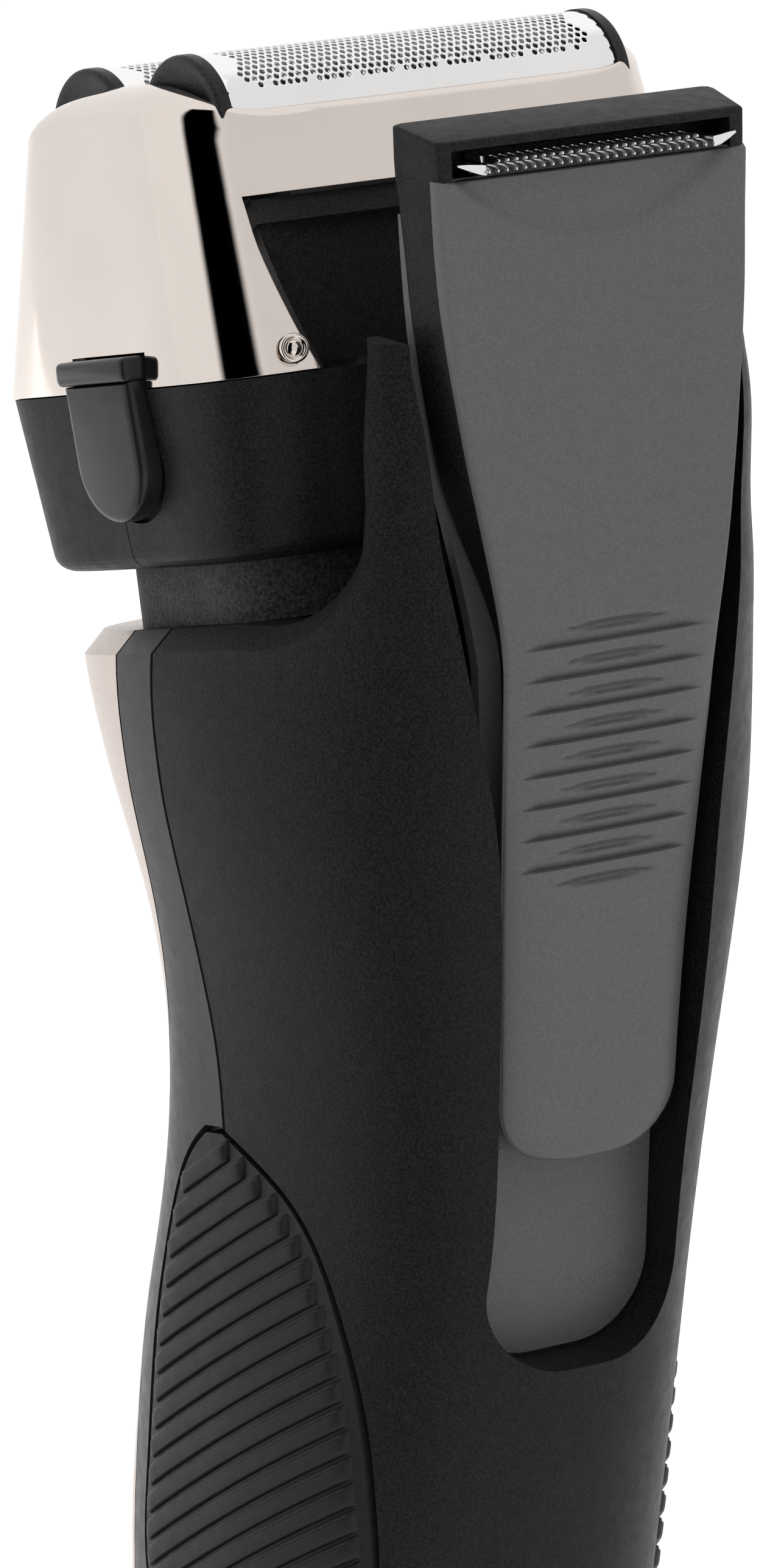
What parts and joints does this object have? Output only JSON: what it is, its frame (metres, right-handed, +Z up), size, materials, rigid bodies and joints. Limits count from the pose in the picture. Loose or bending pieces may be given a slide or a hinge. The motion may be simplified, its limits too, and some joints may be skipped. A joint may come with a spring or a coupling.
{
  "type": "foil shaver",
  "caption": "Cordless barber foil shaver: waisted handle with ribbed grips, swivelling twin-foil head under a plated cover, and a slide-out trimmer along the back.",
  "frame": {"origin": "middle of the flat base of the handle, on the surface that it stands on", "axes": "+Z up the handle to the foils, +Y towards the back with the trimmer, -Y towards the front panel, X along the foils"},
  "size_m": [0.0624, 0.0616, 0.1642],
  "materials": {
    "shell_black": "fine-grain satin moulded plastic",
    "band_grey": "smooth satin moulded plastic",
    "panel_champagne": "satin champagne metallic",
    "cover_champagne": "polished champagne plating",
    "grip_rubber": "matte ribbed rubber",
    "trimmer_grey": "satin moulded plastic",
    "foil_nickel": "bright perforated foil",
    "blade_chrome": "ground bright steel",
    "head_black": "semi-gloss moulded plastic",
    "neck_grey": "coarse textured plastic",
    "button_black": "smooth satin plastic",
    "button_metal": "satin metallic paint",
    "steel": "bright steel",
    "drive_nylon": "natural nylon",
    "post_metal": "turned steel",
    "contact_brass": "bright brass",
    "battery_wrap": "shrink wrap",
    "board_green": "solder mask",
    "component_black": "moulded package",
    "led_clear": "clear resin",
    "lens_glass": "smoked clear plastic"
  },
  "bodies": {
    "handle": {"rear_shell": "shell_black", "side_band": "band_grey", "front_panel": "panel_champagne", "grip_insert_left": "grip_rubber", "grip_insert_right": "grip_rubber", "bottom_cap": "shell_black", "base_screws": "steel", "charging_socket": "drive_nylon", "socket_pins": "contact_brass", "base_seal": "grip_rubber", "chassis": "drive_nylon", "battery": "battery_wrap", "battery_tabs": "contact_brass", "circuit_board": "board_green", "board_components": "component_black", "tact_switch": "drive_nylon", "status_leds": "led_clear", "status_lens": "lens_glass", "button_ring": "button_black", "motor_can": "steel", "motor_mount": "head_black", "neck_column": "neck_grey", "swivel_yoke": "drive_nylon", "swivel_pins": "steel"},
    "rotor": {"motor_shaft": "steel", "eccentric_cam": "drive_nylon"},
    "power_button": {"power_button": "button_metal"},
    "head": {"head_base_front": "shell_black", "head_base_rear": "shell_black", "cutter_deck": "head_black"},
    "cover": {"head_cover": "cover_champagne", "foil_frame": "head_black", "hair_chamber": "head_black"},
    "foil_front": {"foil_front": "foil_nickel", "foil_holder_front": "head_black"},
    "foil_back": {"foil_back": "foil_nickel", "foil_holder_back": "head_black"},
    "oscillator": {"drive_bridge": "drive_nylon", "drive_posts": "post_metal", "cutter_spring_front": "steel", "cutter_spring_back": "steel"},
    "cutter_front": {"inner_cutter_front": "blade_chrome", "cutter_carrier_front": "drive_nylon"},
    "cutter_back": {"inner_cutter_back": "blade_chrome", "cutter_carrier_back": "drive_nylon"},
    "release_left": {"release_button_left": "button_black"},
    "release_right": {"release_button_right": "button_black"},
    "trimmer": {"trimmer_housing": "trimmer_grey", "trimmer_back_cover": "trimmer_grey", "trimmer_comb": "blade_chrome"},
    "trimmer_cutter": {"trimmer_blade": "blade_chrome", "trimmer_arm": "steel"}
  },
  "joints": [
    {"name": "motor_spin", "type": "hinge", "parent": "handle", "child": "rotor", "pos_m": [0, -0.0078, 0.1337], "axis": [0, -0.2164, 0.9763], "continuous": true},
    {"name": "power_press", "type": "slide", "parent": "handle", "child": "power_button", "axis": [0, 1, 0], "range_m": [0, 0.0008], "stiffness_N_per_m": 600},
    {"name": "head_swivel", "type": "hinge", "parent": "handle", "child": "head", "pos_m": [0, -0.00515, 0.12405], "axis": [1, 0, 0], "range_deg": [-6, 6], "stiffness_Nm_per_rad": 0.3},
    {"name": "cover_lift", "type": "slide", "parent": "head", "child": "cover", "axis": [0, -0.2164, 0.9763], "range_m": [0, 0.03]},
    {"name": "foil_front_float", "type": "slide", "parent": "cover", "child": "foil_front", "axis": [0, 0.2164, -0.9763], "range_m": [0, 0.0015], "stiffness_N_per_m": 300},
    {"name": "foil_back_float", "type": "slide", "parent": "cover", "child": "foil_back", "axis": [0, 0.2164, -0.9763], "range_m": [0, 0.0015], "stiffness_N_per_m": 300},
    {"name": "cutter_stroke", "type": "slide", "parent": "head", "child": "oscillator", "axis": [1, 0, 0], "range_m": [-0.001, 0.001], "stiffness_N_per_m": 800},
    {"name": "cutter_front_float", "type": "slide", "parent": "oscillator", "child": "cutter_front", "axis": [0, 0.2164, -0.9763], "range_m": [0, 0.0015], "deforming": ["cutter_spring_front"]},
    {"name": "cutter_back_float", "type": "slide", "parent": "oscillator", "child": "cutter_back", "axis": [0, 0.2164, -0.9763], "range_m": [0, 0.0015], "deforming": ["cutter_spring_back"]},
    {"name": "release_left_press", "type": "slide", "parent": "head", "child": "release_left", "axis": [-1, 0, 0], "range_m": [0, 0.0004], "stiffness_N_per_m": 800},
    {"name": "release_right_press", "type": "slide", "parent": "head", "child": "release_right", "axis": [1, 0, 0], "range_m": [0, 0.0004], "stiffness_N_per_m": 800},
    {"name": "trimmer_slide", "type": "slide", "parent": "handle", "child": "trimmer", "axis": [0, -0.0436, -0.999], "range_m": [0, 0.0164]},
    {"name": "trimmer_stroke", "type": "slide", "parent": "trimmer", "child": "trimmer_cutter", "axis": [1, 0, 0], "range_m": [-0.0008, 0.0008]}
  ],
  "couplings": [
    {"joint": "cutter_front_float", "follows": "foil_front_float", "ratio": 1},
    {"joint": "cutter_back_float", "follows": "foil_back_float", "ratio": 1},
    {"joint": "trimmer_stroke", "follows": "cutter_stroke", "ratio": -0.8}
  ]
}
